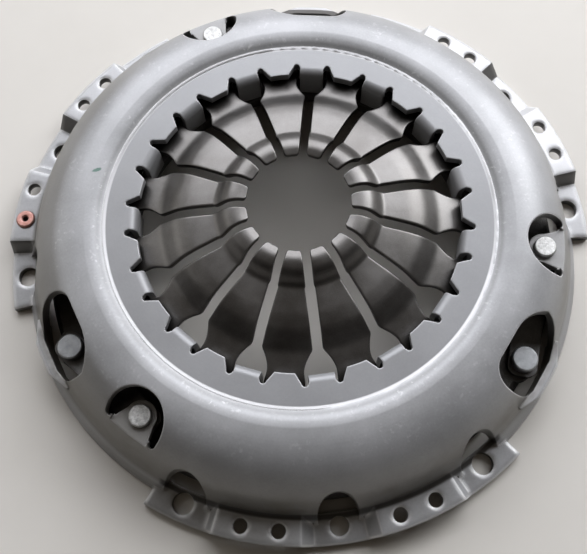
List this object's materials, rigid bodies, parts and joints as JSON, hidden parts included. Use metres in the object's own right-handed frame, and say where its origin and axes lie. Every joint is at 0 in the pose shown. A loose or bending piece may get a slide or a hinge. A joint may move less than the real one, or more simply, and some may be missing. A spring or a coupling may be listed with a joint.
{
  "type": "clutch pressure plate",
  "caption": "Diaphragm-spring clutch cover assembly: pressed steel cover, slotted spring fingers, cast pressure plate and spring drive straps.",
  "frame": {"origin": "on the clutch axis, in the plane where the cover's feet seat on the flywheel", "axes": "+Z along the clutch axis away from the flywheel, towards the release bearing; one flange sector is centred on -Y"},
  "size_m": [0.2646, 0.2578, 0.0488],
  "materials": {
    "cover_steel": "satin grey phosphated pressing",
    "spring_steel": "shot-peened and oiled spring steel",
    "ring_wire": "drawn wire",
    "plate_iron": "rough cast with a ground friction face",
    "strap_steel": "rolled spring strip",
    "rivet_steel": "plated, pressed heads",
    "balance_copper": "bare copper"
  },
  "bodies": {
    "cover": {"cover": "cover_steel", "upper_fulcrum_ring": "ring_wire", "lower_fulcrum_ring": "ring_wire", "balance_rivet": "balance_copper", "drive_strap_1_leaf_1": "strap_steel", "drive_strap_1_leaf_2": "strap_steel", "drive_strap_1_leaf_3": "strap_steel", "drive_strap_2_leaf_1": "strap_steel", "drive_strap_2_leaf_2": "strap_steel", "drive_strap_2_leaf_3": "strap_steel", "drive_strap_3_leaf_1": "strap_steel", "drive_strap_3_leaf_2": "strap_steel", "drive_strap_3_leaf_3": "strap_steel", "strap_anchor_rivet_1": "rivet_steel", "strap_anchor_rivet_2": "rivet_steel", "strap_anchor_rivet_3": "rivet_steel"},
    "pressure_plate": {"pressure_plate": "plate_iron", "strap_lug_rivet_1": "rivet_steel", "strap_lug_rivet_2": "rivet_steel", "strap_lug_rivet_3": "rivet_steel"},
    "diaphragm": {"diaphragm_spring": "spring_steel"}
  },
  "joints": [
    {"name": "plate_lift", "type": "slide", "parent": "cover", "child": "pressure_plate", "axis": [0, 0, 1], "range_m": [0, 0.006], "stiffness_N_per_m": 20000, "deforming": ["drive_strap_1_leaf_1", "drive_strap_1_leaf_2", "drive_strap_1_leaf_3", "drive_strap_2_leaf_1", "drive_strap_2_leaf_2", "drive_strap_2_leaf_3", "drive_strap_3_leaf_1", "drive_strap_3_leaf_2", "drive_strap_3_leaf_3"]},
    {"name": "finger_travel", "type": "slide", "parent": "cover", "child": "diaphragm", "axis": [0, 0, -1], "range_m": [0, 0.0222], "deforming": ["diaphragm_spring"]}
  ],
  "couplings": [
    {"joint": "finger_travel", "follows": "plate_lift", "ratio": 3.6138}
  ]
}
